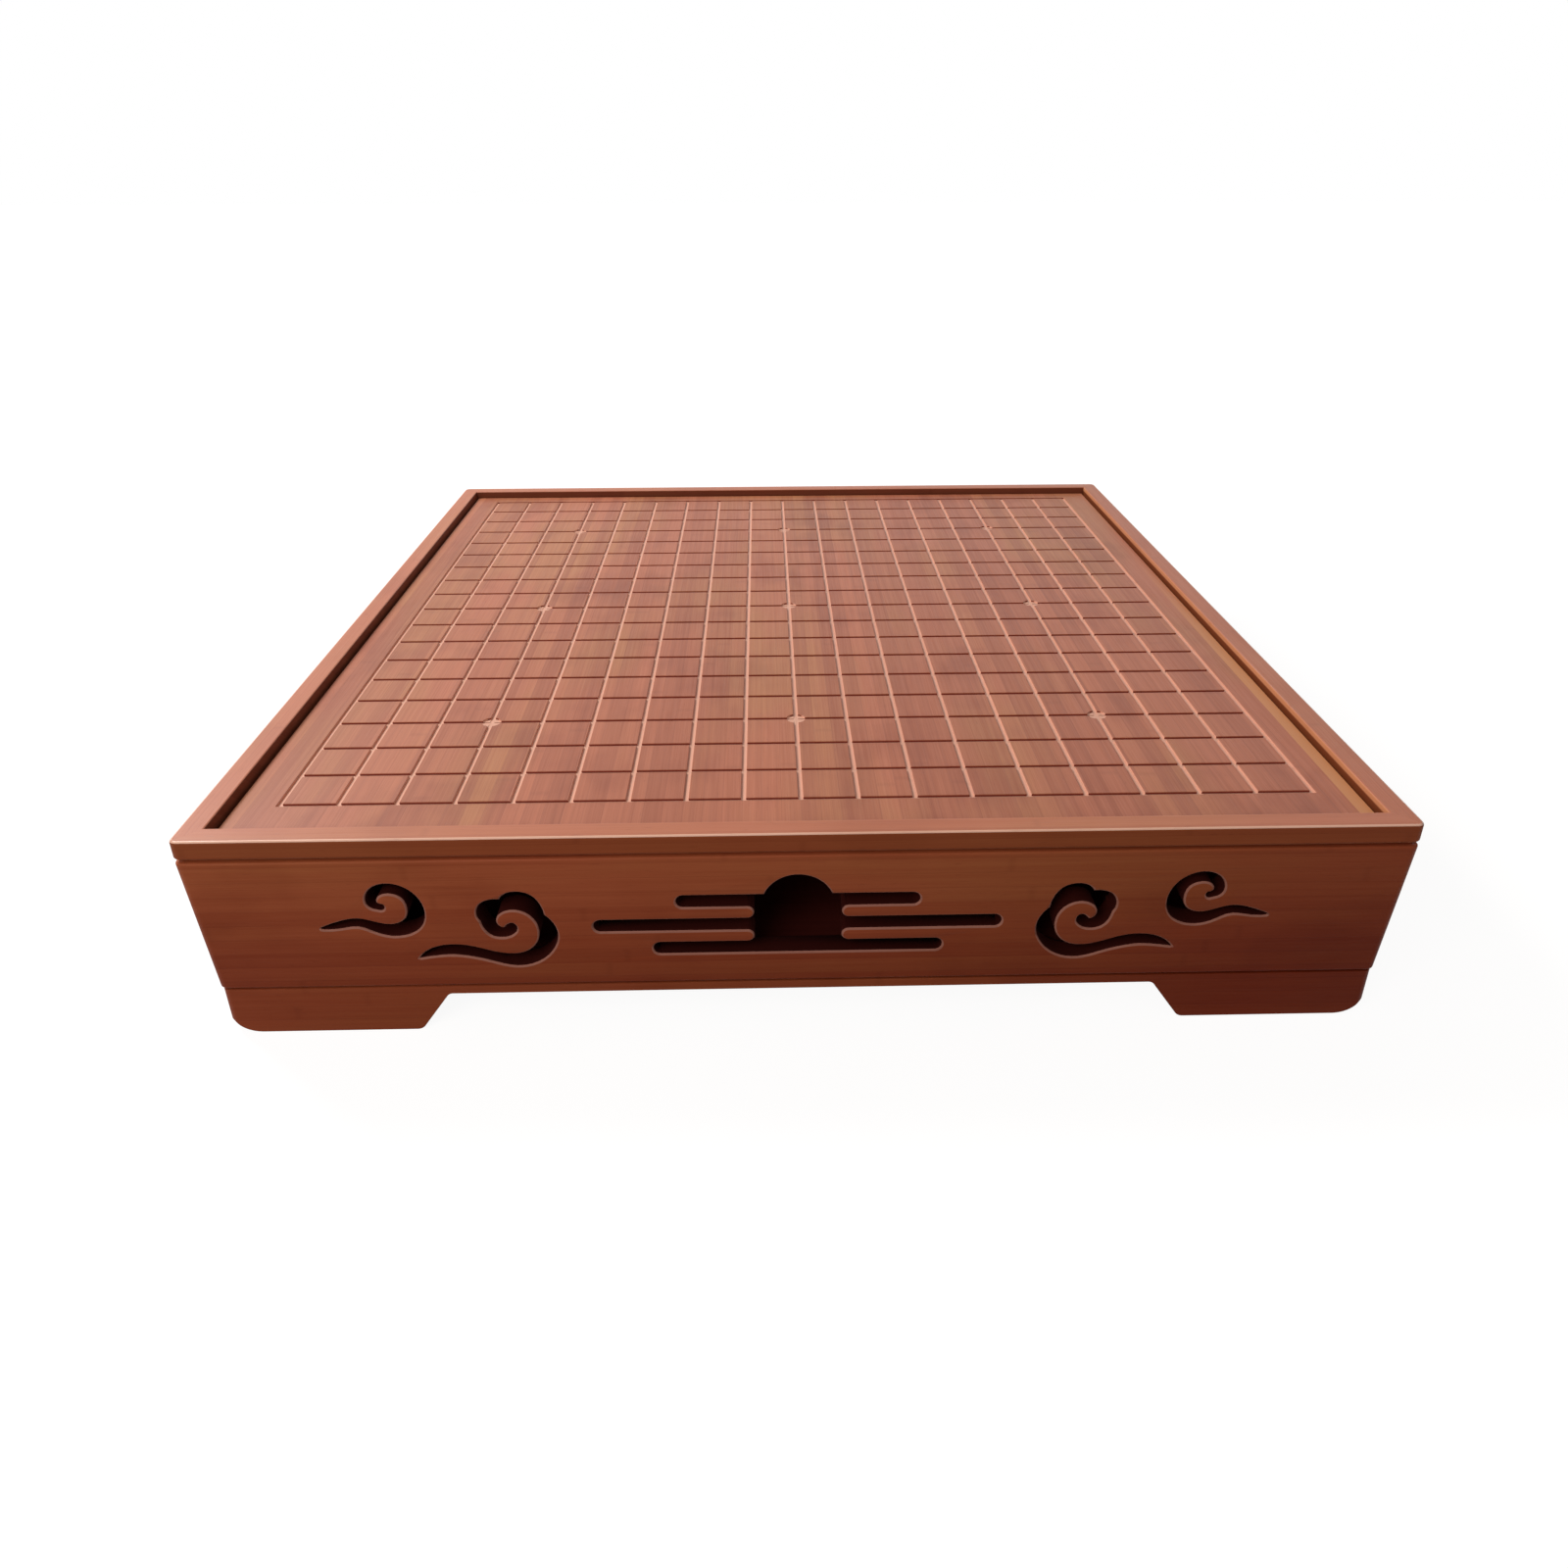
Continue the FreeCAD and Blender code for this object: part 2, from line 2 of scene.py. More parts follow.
# # A go board with a storage box, finished in bamboo
#
# The board is made of separate pieces: a box of four leaning walls on a base with feet, a lid rim, and
# a playing panel that lies loose in the rim. All of them arrive here at their real size. What is still
# missing is what the hand and the eye notice: eased edges, the grain of the bamboo, the paler wood in
# the cuts, the satin finish, and light to see them by.
#
# The first step loads the pieces and keeps the size of the whole board.

# %% Load the pieces
import json
import math
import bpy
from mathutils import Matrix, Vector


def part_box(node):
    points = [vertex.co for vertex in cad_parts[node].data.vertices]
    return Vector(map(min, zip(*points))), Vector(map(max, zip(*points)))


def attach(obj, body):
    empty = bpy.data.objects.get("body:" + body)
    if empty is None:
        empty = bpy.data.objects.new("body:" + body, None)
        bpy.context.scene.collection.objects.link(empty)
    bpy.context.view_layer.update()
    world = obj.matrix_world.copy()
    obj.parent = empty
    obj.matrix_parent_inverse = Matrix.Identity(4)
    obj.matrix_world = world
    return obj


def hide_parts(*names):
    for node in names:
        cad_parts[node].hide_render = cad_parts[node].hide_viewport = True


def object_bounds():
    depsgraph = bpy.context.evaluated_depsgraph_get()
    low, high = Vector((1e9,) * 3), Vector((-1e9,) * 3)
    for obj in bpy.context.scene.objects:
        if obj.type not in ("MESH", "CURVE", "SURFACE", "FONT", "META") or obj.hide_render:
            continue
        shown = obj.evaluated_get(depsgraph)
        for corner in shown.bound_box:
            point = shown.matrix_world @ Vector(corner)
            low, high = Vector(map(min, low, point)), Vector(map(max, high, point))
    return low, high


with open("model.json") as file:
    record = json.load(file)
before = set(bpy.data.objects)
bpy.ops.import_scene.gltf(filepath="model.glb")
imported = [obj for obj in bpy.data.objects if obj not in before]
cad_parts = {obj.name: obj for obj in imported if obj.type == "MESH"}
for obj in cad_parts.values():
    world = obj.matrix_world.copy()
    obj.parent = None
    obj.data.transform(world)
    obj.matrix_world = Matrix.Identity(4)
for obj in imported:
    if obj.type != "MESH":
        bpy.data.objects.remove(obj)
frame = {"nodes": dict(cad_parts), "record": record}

from types import SimpleNamespace

import bpy
from mathutils import Vector

cad_low, cad_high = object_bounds()
record = frame["record"]
body_of = {node: body for body, nodes in record["behaviour"]["bodies"].items() for node in nodes}
MM = 0.001
print("pieces:", len(frame["nodes"]), "size in mm:", [round(v / MM, 1) for v in cad_high - cad_low])

# %% [markdown]
# ## The camera
#
# The photograph was taken from just in front of the board, above it and very slightly to the left,
# with a wide lens. Placing the camera by hand and nudging it would work, but the cut grid is a better
# guide: its four corners and the edges of the box fix where the camera stood. The small shift puts the
# board as high in the picture as it is in the photograph.

# %% Place the camera
CAMERA_AT = (-0.0134, -0.6105, 0.3231)
CAMERA_TILT = 63.26          # degrees up from looking straight down
CAMERA_ROLL = 0.09
CAMERA_PAN = -1.37
LENS = 26.52                 # millimetres
SENSOR_W = 36.0              # millimetres
CAMERA_SHIFT = (-0.0041, -0.0375)
NEAREST_SEEN = 0.01          # metres

camera_data = bpy.data.cameras.new("camera")
camera_data.sensor_width = SENSOR_W
camera_data.lens = LENS
camera_data.shift_x, camera_data.shift_y = CAMERA_SHIFT
camera_data.clip_start = NEAREST_SEEN
camera = bpy.data.objects.new("camera", camera_data)
camera.location = CAMERA_AT
camera.rotation_euler = [math.radians(v) for v in (CAMERA_TILT, CAMERA_ROLL, CAMERA_PAN)]
bpy.context.scene.collection.objects.link(camera)
bpy.context.scene.camera = camera
bpy.context.scene.view_settings.view_transform = "Standard"
print("camera", CAMERA_AT, "lens", LENS)

# %% [markdown]
# ## The light
#
# In the photograph the top of the board is bright and the carved front lies in its own shade. The left
# rim throws a narrow shadow on the panel, as wide as the rim is high, so the main light comes from the
# left at about 45 degrees, and from slightly behind. It is small enough to keep that shadow crisp. A
# weaker, lower lamp at the front left keeps the carved front readable, a little less so at its right
# end, and the world fills in the rest.

# %% Hang the lamps
def add_lamp(name, place, target, size, power, colour):
    """A square lamp that faces a point."""
    data = bpy.data.lights.new(name, "AREA")
    data.size = size
    data.energy = power
    data.color = colour
    lamp = bpy.data.objects.new(name, data)
    lamp.location = place
    direction = Vector(target) - Vector(place)
    lamp.rotation_euler = direction.to_track_quat("-Z", "Y").to_euler()
    bpy.context.scene.collection.objects.link(lamp)


BOARD_MIDDLE = (0.0, 0.0, 0.06)
CARVED_FRONT = (-0.04, -0.24, 0.06)
add_lamp("main_lamp", place=(-1.0, 0.5, 1.12), target=BOARD_MIDDLE, size=0.4, power=20.0,
         colour=(1.0, 0.97, 0.94))
add_lamp("front_fill", place=(-0.45, -0.95, 0.62), target=CARVED_FRONT, size=0.6, power=4.7,
         colour=(1.0, 0.94, 0.86))

# %% [markdown]
# ## A helper for nodes
#
# A finish in Blender is a web of small nodes. In the node editor they are added and joined by hand. In
# a script each one takes three or four lines, and the idea behind the web gets lost. So a small helper
# adds a node, joins its inputs and hands back its result, all in one short call.

# %% Short calls for adding nodes
class Board:
    """Adds nodes to a tree with short calls. A socket or a plain value may be given as an input."""

    def __init__(self, tree):
        self.tree = tree

    def put(self, target, value):
        if isinstance(value, bpy.types.NodeSocket):
            self.tree.links.new(value, target)
        else:
            target.default_value = value

    def math(self, operation, a, b=0.0, clamp=False):
        node = self.tree.nodes.new("ShaderNodeMath")
        node.operation = operation
        node.use_clamp = clamp
        self.put(node.inputs[0], a)
        self.put(node.inputs[1], b)
        return node.outputs[0]

    def dot(self, a, b):
        node = self.tree.nodes.new("ShaderNodeVectorMath")
        node.operation = "DOT_PRODUCT"
        self.put(node.inputs[0], a)
        self.put(node.inputs[1], b)
        return node.outputs["Value"]

    def length(self, vector):
        node = self.tree.nodes.new("ShaderNodeVectorMath")
        node.operation = "LENGTH"
        self.put(node.inputs[0], vector)
        return node.outputs["Value"]

    def place(self):
        """Each point's place in metres from the board's middle on the ground."""
        return self.tree.nodes.new("ShaderNodeTexCoord").outputs["Object"]

    def split(self, vector):
        node = self.tree.nodes.new("ShaderNodeSeparateXYZ")
        self.put(node.inputs[0], vector)
        return node.outputs[0], node.outputs[1], node.outputs[2]

    def combine(self, x, y, z):
        node = self.tree.nodes.new("ShaderNodeCombineXYZ")
        for socket, value in zip(node.inputs, (x, y, z)):
            self.put(socket, value)
        return node.outputs[0]

    def noise(self, vector, detail=2.0, roughness=0.5):
        node = self.tree.nodes.new("ShaderNodeTexNoise")
        node.inputs["Scale"].default_value = 1.0
        node.inputs["Detail"].default_value = detail
        node.inputs["Roughness"].default_value = roughness
        self.put(node.inputs["Vector"], vector)
        return node.outputs["Fac"]

    def random(self, value):
        node = self.tree.nodes.new("ShaderNodeTexWhiteNoise")
        node.noise_dimensions = "1D"
        self.put(node.inputs["W"], value)
        return node.outputs["Value"]

    def remap(self, value, low, high, new_low=0.0, new_high=1.0, kind="SMOOTHSTEP"):
        node = self.tree.nodes.new("ShaderNodeMapRange")
        node.interpolation_type = kind
        for socket, number in zip(node.inputs, (value, low, high, new_low, new_high)):
            self.put(socket, number)
        return node.outputs[0]

    def mix(self, factor, a, b, kind="MIX"):
        node = self.tree.nodes.new("ShaderNodeMix")
        node.data_type = "RGBA"
        node.blend_type = kind
        node.clamp_factor = True
        self.put(node.inputs["Factor"], factor)
        self.put(node.inputs["A"], a)
        self.put(node.inputs["B"], b)
        return node.outputs["Result"]

    def group(self, tree, **values):
        node = self.tree.nodes.new("ShaderNodeGroup")
        node.node_tree = tree
        for name, value in values.items():
            self.put(node.inputs[name.replace("_", " ")], value)
        return node.outputs


print("helper:", [name for name in vars(Board) if not name.startswith("_")])

# %% [markdown]
# ## Floor and background
#
# The photograph shows the board on plain white, with no horizon and hardly any shadow. A floor that is
# really white would throw a lot of light back onto the carved front. So the floor glows white only for
# the camera and for reflections, and is dark to all other light. The glow is a little weaker round the
# board, where it leaves room for a faint shadow, and full further out, where the floor meets the
# equally white world without a line.

# %% Lay the floor
def new_material(name):
    """A material with nodes, its node tree and its Principled shader."""
    material = bpy.data.materials.new(name)
    material.use_nodes = True
    return material, material.node_tree, material.node_tree.nodes["Principled BSDF"]


def seen_directly(b):
    """A value of 1 for rays from the camera and for reflections, and 0 for the rest."""
    path = b.tree.nodes.new("ShaderNodeLightPath").outputs
    seen = b.math("MAXIMUM", path["Is Camera Ray"], path["Is Glossy Ray"])
    return b.math("MAXIMUM", seen, path["Is Transmission Ray"])


GLOW_NEAR = 0.93
GLOW_FAR = 1.0
NEAR_ENDS = 0.35             # metres from the board's middle
FAR_STARTS = 0.8
FLOOR_SIZE = 14.0
FLOOR_GREY = (0.14, 0.13, 0.125, 1)
WHITE = (1, 1, 1, 1)

floor_material, tree, shader = new_material("floor_white")
b = Board(tree)
spread = b.remap(b.length(b.place()), NEAR_ENDS, FAR_STARTS, GLOW_NEAR, GLOW_FAR, "LINEAR")
b.put(shader.inputs["Roughness"], 1.0)
b.put(shader.inputs["Specular IOR Level"], 0.0)
b.put(shader.inputs["Base Color"], FLOOR_GREY)
b.put(shader.inputs["Emission Color"], WHITE)
b.put(shader.inputs["Emission Strength"], b.math("MULTIPLY", seen_directly(b), spread))

bpy.ops.object.select_all(action="DESELECT")
bpy.ops.mesh.primitive_plane_add(size=FLOOR_SIZE, location=(0, 0, 0))
floor = bpy.context.object
floor.name = "floor"
floor.data.materials.append(floor_material)
print("floor:", FLOOR_SIZE, "metres wide")

# %% [markdown]
# The world round the board works the same way. The camera sees it white, but the light it gives is weak
# and slightly warm, so it fills the shadows and doesn't wash them out.

# %% Light the room
WORLD_LEVEL = 0.23
WORLD_WARMTH = (1.0, 0.97, 0.94)
room_light = (*[WORLD_LEVEL * part for part in WORLD_WARMTH], 1)

world = bpy.data.worlds.new("studio")
world.use_nodes = True
bpy.context.scene.world = world
b = Board(world.node_tree)
background = world.node_tree.nodes["Background"]
b.put(background.inputs["Color"], b.mix(seen_directly(b), room_light, WHITE))
b.put(background.inputs["Strength"], 1.0)
print("room light:", room_light)

# %% [markdown]
# ## The grain of bamboo
#
# Bamboo board is glued up from strips a few millimetres wide. Each strip has its own tone, fine fibres
# that run its whole length, and a knuckle, a faint darker band, where the stalk had its joint. A picture
# could show that, but the grain would have to be laid out on every piece. A pattern worked out from
# each point's place needs no layout, and it runs straight through a piece as real wood does.
#
# The pattern is made once, as a node group, and each finish places it with its own values. Its first
# inputs say which way is across the strips and which way they run.

# %% How a node group is made
def new_group(name, inputs, outputs):
    """A node group with named sockets, given as {name: (socket kind, default)}."""
    tree = bpy.data.node_groups.new(name, "ShaderNodeTree")
    for label, (kind, default) in inputs.items():
        socket = tree.interface.new_socket(name=label, in_out="INPUT", socket_type=kind)
        socket.default_value = default
    for label, kind in outputs.items():
        tree.interface.new_socket(name=label, in_out="OUTPUT", socket_type=kind)
    start = tree.nodes.new("NodeGroupInput")
    end = tree.nodes.new("NodeGroupOutput")
    return tree, start.outputs, end.inputs


FLOAT = "NodeSocketFloat"
COLOUR = "NodeSocketColor"
VECTOR = "NodeSocketVector"
print("socket kinds:", FLOAT, COLOUR, VECTOR)

# %% The bamboo group
GRAIN = ("Tone", "Broad", "Cloud", "Fibre", "Streak", "Seam", "Knuckle", "Pore")
STRIP_W = 6 * MM
KNUCKLE_SPACING = 0.23       # metres
bamboo_group, given, result = new_group(
    "bamboo_grain",
    {"Position": (VECTOR, (0, 0, 0)), "Across": (VECTOR, (1, 0, 0)), "Along": (VECTOR, (0, 1, 0)),
     "Strip Width": (FLOAT, STRIP_W), "Knuckle Spacing": (FLOAT, KNUCKLE_SPACING)},
    {label: FLOAT for label in GRAIN})
b = Board(bamboo_group)
across = b.dot(given["Position"], given["Across"])
along = b.dot(given["Position"], given["Along"])


def stretched(fast, slow, start, detail=2.0, roughness=0.5):
    """Noise that changes fast across the fibres and slowly along them, in steps to the metre."""
    spot = b.combine(b.math("MULTIPLY", across, fast), b.math("MULTIPLY", along, slow), start)
    return b.noise(spot, detail, roughness)


# Each strip gets a number, and from it a tone and a shift along its length
OTHER_DRAW = 71.3            # added to the number for a second draw
SEAM_W = 0.045               # in strip widths
strip = b.math("DIVIDE", across, given["Strip Width"])
number = b.math("FLOOR", strip)
tone = b.random(number)
shift = b.random(b.math("ADD", number, OTHER_DRAW))
within = b.math("FRACT", strip)
edge = b.math("MINIMUM", within, b.math("SUBTRACT", 1.0, within))
seam = b.remap(edge, 0.0, SEAM_W, 1.0, 0.0)

# A knuckle crosses each strip at its own height, slightly wavy
KNUCKLE_SHIFT = 9.0          # up to so many knuckle spacings along
KNUCKLE_W = 0.011            # in knuckle spacings, to either side of its middle
WAVE_HIGH = 0.004            # in knuckle spacings
wave = stretched(fast=900.0, slow=30.0, start=0.0)
steps = b.math("DIVIDE", along, given["Knuckle Spacing"])
steps = b.math("ADD", steps, b.math("MULTIPLY", shift, KNUCKLE_SHIFT))
steps = b.math("ADD", steps, b.math("MULTIPLY", wave, WAVE_HIGH))
beat = b.math("ABSOLUTE", b.math("SUBTRACT", b.math("FRACT", steps), 0.5))
knuckle = b.remap(beat, 0.0, KNUCKLE_W, 1.0, 0.0)

# Fibres from hairlines to soft streaks, short dark pores, and broad patches and clouds in the stain
STRIP_START = 3.0            # sets the fibres of each strip apart from its neighbours'
PORE_RANGE = (0.68, 0.78)
own = b.math("MULTIPLY", shift, STRIP_START)
fibre = stretched(fast=2300.0, slow=26.0, start=own, detail=3.0, roughness=0.65)
streak = stretched(fast=480.0, slow=6.0, start=own)
broad = stretched(fast=22.0, slow=6.0, start=4.7, detail=3.0, roughness=0.55)
cloud = stretched(fast=24.0, slow=15.0, start=9.2, detail=3.0, roughness=0.6)
pore = b.remap(stretched(fast=3400.0, slow=160.0, start=own, detail=1.0), *PORE_RANGE)
for label, value in zip(GRAIN, (tone, broad, cloud, fibre, streak, seam, knuckle, pore)):
    bamboo_group.links.new(value, result[label])
print("bamboo group:", len(bamboo_group.nodes), "nodes")

# %% [markdown]
# A second group turns those values into a colour. Carbonised bamboo is steamed until its sugar browns.
# Strips next to each other differ by a little red or a little yellow, the fibres darken them in
# hairlines, and the board as a whole has cloudy patches where it took the steam or the oil differently.

# %% The colour group
colour_inputs = {"Pale": (COLOUR, (0.5, 0.2, 0.1, 1)), "Deep": (COLOUR, (0.3, 0.1, 0.05, 1)),
                 "Golden": (COLOUR, (0.5, 0.25, 0.1, 1)), "Contrast": (FLOAT, 1.0), "Gold": (FLOAT, 0.5),
                 "Clouds": (FLOAT, 0.3)}
colour_inputs.update({label: (FLOAT, 0.5) for label in GRAIN})
colour_group, given, result = new_group("bamboo_colour", colour_inputs,
                                        {"Color": COLOUR, "Height": FLOAT})
b = Board(colour_group)

# How much each part of the grain darkens the wood. Their middle values add up to about MIDDLE
SHARES = {"Tone": 0.34, "Streak": 0.55, "Fibre": 0.45}
MIDDLE = 0.67
GOLD_RANGE = (0.40, 0.66)
mixed = 0.0
for label, share in SHARES.items():
    mixed = b.math("ADD", b.math("MULTIPLY", given[label], share), mixed)
mixed = b.math("MULTIPLY", b.math("SUBTRACT", mixed, MIDDLE), given["Contrast"])
mixed = b.math("ADD", mixed, 0.5, clamp=True)
colour = b.mix(mixed, given["Pale"], given["Deep"])
gold = b.math("MULTIPLY", b.remap(given["Broad"], *GOLD_RANGE), given["Gold"])
colour = b.mix(gold, colour, b.mix(mixed, given["Golden"], given["Deep"]))

# Clouds in the stain, then the thin dark marks. Both darken the wood and leave its grain to show
CLOUD_RANGE = (0.46, 0.74)
CLOUD_TINT = (0.64, 0.49, 0.42, 1)
MARK_TINT = (0.42, 0.30, 0.26, 1)
MARKS = {"Seam": 0.2, "Knuckle": 0.14, "Pore": 0.35}
cloudy = b.math("MULTIPLY", b.remap(given["Cloud"], *CLOUD_RANGE), given["Clouds"])
colour = b.mix(cloudy, colour, b.mix(1.0, colour, CLOUD_TINT, "MULTIPLY"))
dark = 0.0
for label, strength in MARKS.items():
    dark = b.math("MAXIMUM", b.math("MULTIPLY", given[label], strength), dark)
colour = b.mix(dark, colour, b.mix(1.0, colour, MARK_TINT, "MULTIPLY"))
height = b.math("SUBTRACT", b.math("MULTIPLY", given["Fibre"], 0.5), dark)
colour_group.links.new(colour, result["Color"])
colour_group.links.new(height, result["Height"])
print("colour group:", len(colour_group.nodes), "nodes")

# %% [markdown]
# ## The finishes
#
# One function makes a finish from the two groups. What differs between the rim, the walls, the panel
# and the wood inside is the direction of the grain, the width of the strips, the three colours and the
# gloss. The top has a satin oil finish that picks up the bright room at a low angle. The walls are more
# matt, and painted shade makes them darker towards the ground and towards the right end, as in the
# photograph.

# %% What makes a finish
# The tint of the painted shade on the walls, and where it starts towards the right
WALL_SHADE_TINT = (0.52, 0.30, 0.24, 1)
WALL_SHADE_FROM = 0.02           # metres right of the middle
FIBRE_RANGE = (0.2, 0.8)
SMOOTHER = 0.05              # how far the fibres change the roughness, down and up
ROUGHER = 0.09
RELIEF = 0.25                # strength of the bump that the fibres make
RELIEF_DEEP = 0.3 * MM
OIL_IOR = 1.45


def bamboo(name, across, along, colours, strip=STRIP_W, contrast=1.0, gold=0.5, clouds=0.3, rough=0.45,
           gloss=0.5, shade_low=0.0, shade_right=0.4):
    """A bamboo finish, with its helper, place, grain, colour and shader for a further step."""
    material, tree, shader = new_material(name)
    b = Board(tree)
    place = b.place()
    pattern = b.group(bamboo_group, Position=place, Across=across, Along=along, Strip_Width=strip)
    grain = {label: pattern[label] for label in GRAIN}
    pale, deep, golden = colours
    paint = b.group(colour_group, Pale=pale, Deep=deep, Golden=golden, Contrast=contrast, Gold=gold,
                    Clouds=clouds, **grain)
    colour = paint["Color"]
    # Painted shade: the colour darkens towards the ground and towards the right end
    if shade_low:
        x, _, z = b.split(place)
        low = b.remap(z, 0.0, cad_high.z, shade_low, 0.0)
        right = b.remap(x, WALL_SHADE_FROM, cad_high.x, 0.0, shade_right)
        darker = b.mix(1.0, colour, WALL_SHADE_TINT, "MULTIPLY")
        colour = b.mix(b.math("ADD", low, right), colour, darker)
    b.put(shader.inputs["Base Color"], colour)
    uneven = b.remap(grain["Fibre"], *FIBRE_RANGE, rough - SMOOTHER, rough + ROUGHER)
    b.put(shader.inputs["Roughness"], uneven)
    b.put(shader.inputs["Specular IOR Level"], gloss)
    b.put(shader.inputs["IOR"], OIL_IOR)

    relief = tree.nodes.new("ShaderNodeBump")
    b.put(relief.inputs["Strength"], RELIEF)
    b.put(relief.inputs["Distance"], RELIEF_DEEP)
    b.put(relief.inputs["Height"], paint["Height"])
    b.put(shader.inputs["Normal"], relief.outputs["Normal"])
    return SimpleNamespace(material=material, b=b, place=place, grain=grain, colour=colour, shader=shader)


print("a finish is made from", bamboo_group.name, "and", colour_group.name)

# %% [markdown]
# Every wood gets three colours: a pale one, a deep one that the fibres mix in, and a golden one for the
# broad patches. They are linear values, in which a middle brown is a small number. They were set by
# comparing renders with the photograph, one part of the board after the other.

# %% Set the colours
RIM_COLOURS = ((0.500, 0.165, 0.085, 1), (0.370, 0.105, 0.048, 1), (0.480, 0.195, 0.085, 1))
PANEL_COLOURS = ((0.480, 0.155, 0.080, 1), (0.290, 0.078, 0.036, 1), (0.450, 0.185, 0.074, 1))
WALL_COLOURS = ((0.420, 0.108, 0.045, 1), (0.290, 0.057, 0.021, 1), (0.400, 0.124, 0.045, 1))
BAND_COLOURS = ((0.320, 0.080, 0.030, 1), (0.225, 0.046, 0.015, 1), (0.310, 0.094, 0.032, 1))
# The next three are painted light and shade: a painted highlight for the rim's rounded edge, painted
# shade for the rim's inner faces, and painted light for the right rail's inner face
EDGE_HIGHLIGHT_COLOURS = ((0.820, 0.500, 0.380, 1), (0.700, 0.380, 0.270, 1), (0.820, 0.500, 0.360, 1))
SHADED_COLOURS = ((0.240, 0.068, 0.034, 1), (0.150, 0.038, 0.018, 1), (0.240, 0.076, 0.034, 1))
SUNLIT_COLOURS = ((0.560, 0.240, 0.120, 1), (0.450, 0.175, 0.080, 1), (0.560, 0.250, 0.110, 1))
# Painted shade for the wood inside the box and under the lid
INSIDE_SHADE_COLOURS = ((0.120, 0.036, 0.020, 1), (0.070, 0.018, 0.010, 1), (0.120, 0.040, 0.020, 1))
CUT_COLOURS = ((0.750, 0.410, 0.300, 1), (0.640, 0.320, 0.220, 1), (0.730, 0.410, 0.290, 1))
BEVEL_COLOURS = ((0.390, 0.170, 0.130, 1), (0.330, 0.130, 0.095, 1), (0.390, 0.170, 0.125, 1))
# Darker painted shade for the box's floor and divider
DARKEST_SHADE_COLOURS = ((0.085, 0.013, 0.009, 1), (0.050, 0.007, 0.005, 1), (0.085, 0.014, 0.009, 1))
# Painted shade for the sides of the carving
CUT_SIDE_SHADE_COLOURS = ((0.050, 0.006, 0.004, 1), (0.026, 0.003, 0.002, 1), (0.050, 0.007, 0.004, 1))
print("colours of the walls:", WALL_COLOURS)

# %% [markdown]
# A finish is now one row in a table: the way across the strips, the way they run, the colours, and what
# differs from the plain finish. Pieces that run left to right and those that run front to back need
# finishes of their own, because real strips turn with the piece they are sawn from.

# %% Make the finishes
ALONG_X = (1, 0, 0)
ALONG_Y = (0, 1, 0)
ACROSS_PANEL = (1, 0, 0)
ACROSS_X_PIECE = (0, 0.9, 1.0)     # slanting, so that strips show on the top and on the side
ACROSS_Y_PIECE = (0.9, 0, 1.0)
RIM_STRIP = 5.2 * MM
WALL_STRIP = 6.6 * MM
PANEL_STRIP = 7.8 * MM
MATT = dict(rough=0.5, gloss=0.12)
INSIDE = dict(rough=0.62, gloss=0.2)
WALL = dict(strip=WALL_STRIP, contrast=1.25, gold=0.9, clouds=0.4, **MATT)

LOOKS = {
    "rim_x": (ACROSS_X_PIECE, ALONG_X, RIM_COLOURS, dict(strip=RIM_STRIP, rough=0.44)),
    "rim_y": (ACROSS_Y_PIECE, ALONG_Y, RIM_COLOURS, dict(strip=RIM_STRIP, rough=0.44)),
    "band_x": (ACROSS_X_PIECE, ALONG_X, BAND_COLOURS, dict(strip=RIM_STRIP, **MATT)),
    "band_y": (ACROSS_Y_PIECE, ALONG_Y, BAND_COLOURS, dict(strip=RIM_STRIP, **MATT)),
    # A painted highlight for the rim's rounded edge, and painted shade for its inner faces
    "worn": (ACROSS_X_PIECE, ALONG_X, EDGE_HIGHLIGHT_COLOURS, dict(contrast=0.5, rough=0.35)),
    "shaded": (ACROSS_X_PIECE, ALONG_X, SHADED_COLOURS, MATT),
    # The walls and the base get painted shade towards the ground and the right end
    "wall_x": (ACROSS_X_PIECE, ALONG_X, WALL_COLOURS, dict(shade_low=0.8, **WALL)),
    "wall_y": (ACROSS_Y_PIECE, ALONG_Y, WALL_COLOURS, dict(shade_low=0.8, **WALL)),
    "base_x": (ACROSS_X_PIECE, ALONG_X, WALL_COLOURS, dict(shade_low=0.42, shade_right=0.8, **WALL)),
    "base_y": (ACROSS_Y_PIECE, ALONG_Y, WALL_COLOURS, dict(shade_low=0.42, shade_right=0.8, **WALL)),
    # Painted shade inside the box and under the lid
    "inside_x": (ACROSS_X_PIECE, ALONG_X, INSIDE_SHADE_COLOURS, INSIDE),
    "inside_y": (ACROSS_Y_PIECE, ALONG_Y, INSIDE_SHADE_COLOURS, INSIDE),
    "stained": (ACROSS_X_PIECE, ALONG_X, DARKEST_SHADE_COLOURS, dict(rough=0.62, gloss=0.15)),
    "bevel": (ACROSS_X_PIECE, ALONG_X, BEVEL_COLOURS, dict(contrast=0.6, rough=0.6, gloss=0.12)),
    # Painted shade for the sides of the carving
    "burnt": (ACROSS_X_PIECE, ALONG_X, CUT_SIDE_SHADE_COLOURS, dict(contrast=0.8, rough=0.75, gloss=0.1)),
}
finish = {key: bamboo("bamboo_" + key, across, along, colours, **more).material
          for key, (across, along, colours, more) in LOOKS.items()}
print("finishes:", sorted(finish))

# %% [markdown]
# One finish needs a little more. The inner face of the right rail gets painted light, a golden lit
# colour, and painted shade low in the gap beside the panel. So its lower part turns dark, by height.

# %% Painted light and shade on the right rail's inner face
GAP_SHADE_FULL = 1.4 * MM          # above the panel's top
